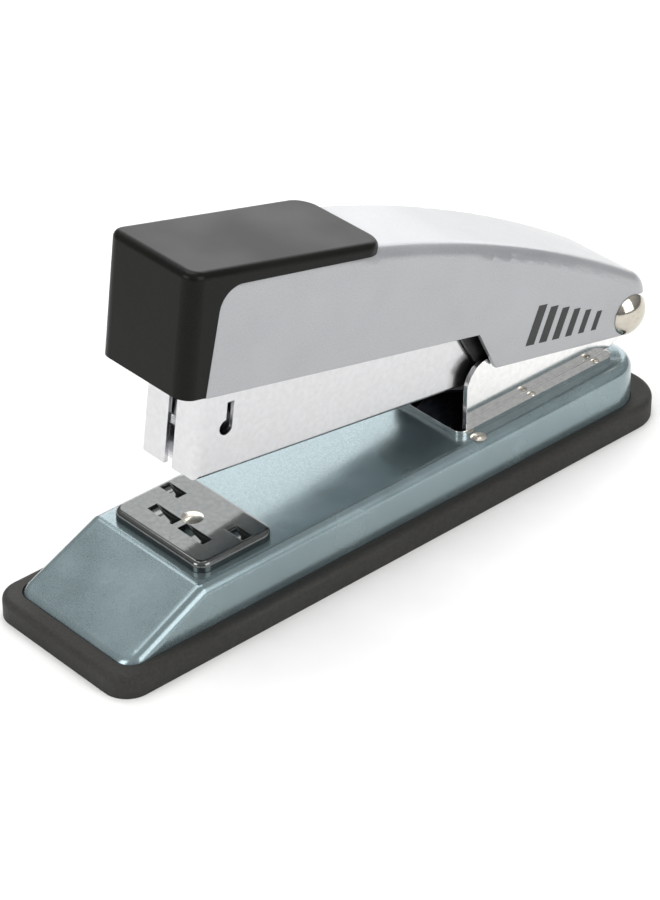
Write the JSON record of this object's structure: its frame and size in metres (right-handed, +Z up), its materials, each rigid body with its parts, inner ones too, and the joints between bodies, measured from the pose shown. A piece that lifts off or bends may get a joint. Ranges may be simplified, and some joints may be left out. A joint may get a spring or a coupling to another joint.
{
  "type": "desk stapler",
  "caption": "Metal desk stapler with a silver lever and black nose cap, a plated magazine, a reversible anvil and a painted base on a rubber pad.",
  "frame": {"origin": "centre of the rubber pad's underside, on the desk", "axes": "+X towards the hinge (the nose points to -X), +Y across the stapler, +Z up"},
  "size_m": [0.1514, 0.0406, 0.0796],
  "materials": {
    "pad_rubber": "matte black moulded rubber",
    "base_paint": "metallic grey-green paint",
    "bracket_chrome": "polished chrome",
    "rivet_steel": "bright steel",
    "spring_steel": "blued spring steel",
    "anvil_chrome": "polished chrome",
    "button_steel": "zinc-plated",
    "coil_steel": "bright wire",
    "pin_nickel": "polished nickel",
    "magazine_nickel": "bright nickel plate",
    "rail_steel": "zinc-plated",
    "staple_wire": "bright glued wire",
    "handle_paint": "satin silver paint",
    "cap_plastic": "satin black moulding",
    "frame_steel": "blackened steel",
    "blade_steel": "hardened steel"
  },
  "bodies": {
    "base": {"base_pad": "pad_rubber", "base_plate": "base_paint", "hinge_bracket": "bracket_chrome", "bracket_rivets": "rivet_steel", "foot_rivets": "rivet_steel", "lift_spring": "spring_steel", "lift_spring_rivet": "rivet_steel"},
    "pin": {"hinge_pin": "pin_nickel"},
    "magazine": {"magazine_housing": "magazine_nickel", "staple_rail": "rail_steel", "staple_strip": "staple_wire", "guide_rod": "coil_steel", "rod_anchor": "rail_steel", "follower_spring": "coil_steel"},
    "follower": {"follower": "rail_steel"},
    "sleeve": {"hinge_sleeve": "button_steel", "return_spring": "coil_steel"},
    "handle": {"handle_shell": "handle_paint", "handle_cap": "cap_plastic", "inner_frame": "frame_steel", "driver_leaf": "spring_steel", "driver_blade": "blade_steel", "frame_rivets": "rivet_steel"},
    "anvil_lifter": {"anvil_button": "button_steel", "anvil_spring": "coil_steel"},
    "anvil": {"anvil_plate": "anvil_chrome", "anvil_rivet": "rivet_steel"}
  },
  "joints": [
    {"name": "magazine_lift", "type": "hinge", "parent": "base", "child": "pin", "pos_m": [0.0701, 0, 0.0228], "axis": [0, 1, 0], "range_deg": [0, 70]},
    {"name": "magazine_press", "type": "hinge", "parent": "pin", "child": "magazine", "pos_m": [0.0701, 0, 0.0228], "axis": [0, 1, 0], "range_deg": [-6.8, 0], "stiffness_Nm_per_rad": 1.4, "springref_deg": 6.02, "deforming": ["lift_spring"]},
    {"name": "follower_slide", "type": "slide", "parent": "magazine", "child": "follower", "axis": [0.9914, 0, -0.1305], "range_m": [0, 0.03], "stiffness_N_per_m": 60, "springref_m": -0.06, "deforming": ["follower_spring"]},
    {"name": "handle_open", "type": "hinge", "parent": "magazine", "child": "sleeve", "pos_m": [0.0701, 0, 0.0228], "axis": [0, 1, 0], "range_deg": [0, 80]},
    {"name": "handle_press", "type": "hinge", "parent": "sleeve", "child": "handle", "pos_m": [0.0701, 0, 0.0228], "axis": [0, 1, 0], "range_deg": [-5, 0], "stiffness_Nm_per_rad": 0.86, "springref_deg": 6.19},
    {"name": "anvil_lift", "type": "slide", "parent": "base", "child": "anvil_lifter", "axis": [0, 0, 1], "range_m": [0, 0.002], "stiffness_N_per_m": 400, "springref_m": -0.004, "deforming": ["anvil_spring"]},
    {"name": "anvil_turn", "type": "hinge", "parent": "anvil_lifter", "child": "anvil", "pos_m": [-0.0409, 0, 0.0166], "axis": [0, 0, 1], "range_deg": [0, 180]}
  ]
}
